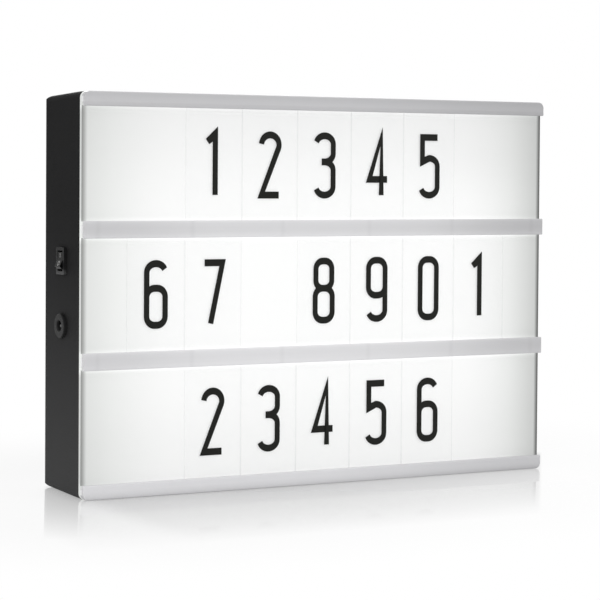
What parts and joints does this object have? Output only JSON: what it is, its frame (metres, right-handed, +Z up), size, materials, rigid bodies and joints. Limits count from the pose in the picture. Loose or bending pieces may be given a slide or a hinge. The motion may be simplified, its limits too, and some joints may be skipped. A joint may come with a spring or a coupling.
{
  "type": "cinema light box",
  "caption": "Shallow lit box with tracks across its opal front that hold clear sliding letter tiles, a side switch and socket, and a battery bay behind.",
  "frame": {"origin": "middle of the face that the box stands on, half way through its depth", "axes": "+X to the right seen from the lit front, +Y to the back, +Z up"},
  "size_m": [0.303, 0.055, 0.22],
  "materials": {
    "case_black": "fine moulded grain",
    "door_black": "fine moulded grain",
    "opal_panel": "opal, lit from behind",
    "opal_rail": "milky extrusion",
    "clear_tile": "clear film",
    "white_reflector": "white sheet",
    "light_board": "white solder mask",
    "lamp": "phosphor window",
    "resistor": "ceramic chip",
    "screw_steel": "zinc plated",
    "switch_black": "satin",
    "rocker_gloss": "polished",
    "terminal_brass": "plain",
    "socket_black": "satin",
    "nut_steel": "dark plated",
    "pin_plated": "nickel plated",
    "contact_plated": "nickel plated",
    "spring_steel": "nickel plated",
    "red_sleeve": "wire sleeve",
    "black_sleeve": "wire sleeve",
    "cell_blue": "plain printed sleeve",
    "cell_green": "plain printed sleeve"
  },
  "bodies": {
    "case": {"rear_housing": "case_black", "diffuser_panel": "opal_panel", "top_rail": "opal_rail", "upper_rail": "opal_rail", "lower_rail": "opal_rail", "bottom_rail": "opal_rail", "reflector": "white_reflector", "upper_light_board": "light_board", "lower_light_board": "light_board", "upper_lamps": "lamp", "lower_lamps": "lamp", "board_resistors": "resistor", "board_screws": "screw_steel", "switch_body": "switch_black", "switch_terminals": "terminal_brass", "socket_body": "socket_black", "socket_nut": "nut_steel", "socket_pin": "pin_plated", "socket_terminals": "terminal_brass", "cell_1": "cell_blue", "cell_2": "cell_green", "cell_3": "cell_blue", "cell_4": "cell_green", "cell_5": "cell_blue", "cell_6": "cell_green", "top_contacts": "contact_plated", "bottom_contacts": "contact_plated", "contact_springs": "spring_steel", "red_wires": "red_sleeve", "black_wires": "black_sleeve"},
    "battery_door": {"battery_door": "door_black"},
    "rocker": {"switch_rocker": "rocker_gloss"},
    "tile_top_1": {"tile_top_1": "clear_tile"},
    "tile_top_2": {"tile_top_2": "clear_tile"},
    "tile_top_3": {"tile_top_3": "clear_tile"},
    "tile_top_4": {"tile_top_4": "clear_tile"},
    "tile_top_5": {"tile_top_5": "clear_tile"},
    "tile_middle_1": {"tile_middle_1": "clear_tile"},
    "tile_middle_2": {"tile_middle_2": "clear_tile"},
    "tile_middle_3": {"tile_middle_3": "clear_tile"},
    "tile_middle_4": {"tile_middle_4": "clear_tile"},
    "tile_middle_5": {"tile_middle_5": "clear_tile"},
    "tile_middle_6": {"tile_middle_6": "clear_tile"},
    "tile_bottom_1": {"tile_bottom_1": "clear_tile"},
    "tile_bottom_2": {"tile_bottom_2": "clear_tile"},
    "tile_bottom_3": {"tile_bottom_3": "clear_tile"},
    "tile_bottom_4": {"tile_bottom_4": "clear_tile"},
    "tile_bottom_5": {"tile_bottom_5": "clear_tile"}
  },
  "joints": [
    {"name": "tile_top_1_slide", "type": "slide", "parent": "case", "child": "tile_top_1", "axis": [1, 0, 0], "range_m": [-0.0619, 0.0619]},
    {"name": "tile_top_2_slide", "type": "slide", "parent": "case", "child": "tile_top_2", "axis": [1, 0, 0], "range_m": [-0.0619, 0.0619]},
    {"name": "tile_top_3_slide", "type": "slide", "parent": "case", "child": "tile_top_3", "axis": [1, 0, 0], "range_m": [-0.0619, 0.0619]},
    {"name": "tile_top_4_slide", "type": "slide", "parent": "case", "child": "tile_top_4", "axis": [1, 0, 0], "range_m": [-0.0619, 0.0619]},
    {"name": "tile_top_5_slide", "type": "slide", "parent": "case", "child": "tile_top_5", "axis": [1, 0, 0], "range_m": [-0.0619, 0.0619]},
    {"name": "tile_middle_1_slide", "type": "slide", "parent": "case", "child": "tile_middle_1", "axis": [1, 0, 0], "range_m": [-0.0266, 0.0175]},
    {"name": "tile_middle_2_slide", "type": "slide", "parent": "case", "child": "tile_middle_2", "axis": [1, 0, 0], "range_m": [-0.0266, 0.0175]},
    {"name": "tile_middle_3_slide", "type": "slide", "parent": "case", "child": "tile_middle_3", "axis": [1, 0, 0], "range_m": [-0.0175, 0.0266]},
    {"name": "tile_middle_4_slide", "type": "slide", "parent": "case", "child": "tile_middle_4", "axis": [1, 0, 0], "range_m": [-0.0175, 0.0266]},
    {"name": "tile_middle_5_slide", "type": "slide", "parent": "case", "child": "tile_middle_5", "axis": [1, 0, 0], "range_m": [-0.0175, 0.0266]},
    {"name": "tile_middle_6_slide", "type": "slide", "parent": "case", "child": "tile_middle_6", "axis": [1, 0, 0], "range_m": [-0.0175, 0.0266]},
    {"name": "tile_bottom_1_slide", "type": "slide", "parent": "case", "child": "tile_bottom_1", "axis": [1, 0, 0], "range_m": [-0.0619, 0.0619]},
    {"name": "tile_bottom_2_slide", "type": "slide", "parent": "case", "child": "tile_bottom_2", "axis": [1, 0, 0], "range_m": [-0.0619, 0.0619]},
    {"name": "tile_bottom_3_slide", "type": "slide", "parent": "case", "child": "tile_bottom_3", "axis": [1, 0, 0], "range_m": [-0.0619, 0.0619]},
    {"name": "tile_bottom_4_slide", "type": "slide", "parent": "case", "child": "tile_bottom_4", "axis": [1, 0, 0], "range_m": [-0.0619, 0.0619]},
    {"name": "tile_bottom_5_slide", "type": "slide", "parent": "case", "child": "tile_bottom_5", "axis": [1, 0, 0], "range_m": [-0.0619, 0.0619]},
    {"name": "battery_door_hinge", "type": "hinge", "parent": "case", "child": "battery_door", "pos_m": [0, 0.0275, 0.08015], "axis": [-1, 0, 0], "range_deg": [0, 70]},
    {"name": "rocker_tilt", "type": "hinge", "parent": "case", "child": "rocker", "pos_m": [-0.148, 0.001, 0.128], "axis": [0, -1, 0], "range_deg": [0, 24]}
  ],
  "couplings": [
    {"joint": "tile_top_2_slide", "follows": "tile_top_1_slide", "ratio": 1},
    {"joint": "tile_top_3_slide", "follows": "tile_top_1_slide", "ratio": 1},
    {"joint": "tile_top_4_slide", "follows": "tile_top_1_slide", "ratio": 1},
    {"joint": "tile_top_5_slide", "follows": "tile_top_1_slide", "ratio": 1},
    {"joint": "tile_middle_2_slide", "follows": "tile_middle_1_slide", "ratio": 1},
    {"joint": "tile_middle_4_slide", "follows": "tile_middle_3_slide", "ratio": 1},
    {"joint": "tile_middle_5_slide", "follows": "tile_middle_3_slide", "ratio": 1},
    {"joint": "tile_middle_6_slide", "follows": "tile_middle_3_slide", "ratio": 1},
    {"joint": "tile_bottom_2_slide", "follows": "tile_bottom_1_slide", "ratio": 1},
    {"joint": "tile_bottom_3_slide", "follows": "tile_bottom_1_slide", "ratio": 1},
    {"joint": "tile_bottom_4_slide", "follows": "tile_bottom_1_slide", "ratio": 1},
    {"joint": "tile_bottom_5_slide", "follows": "tile_bottom_1_slide", "ratio": 1}
  ]
}
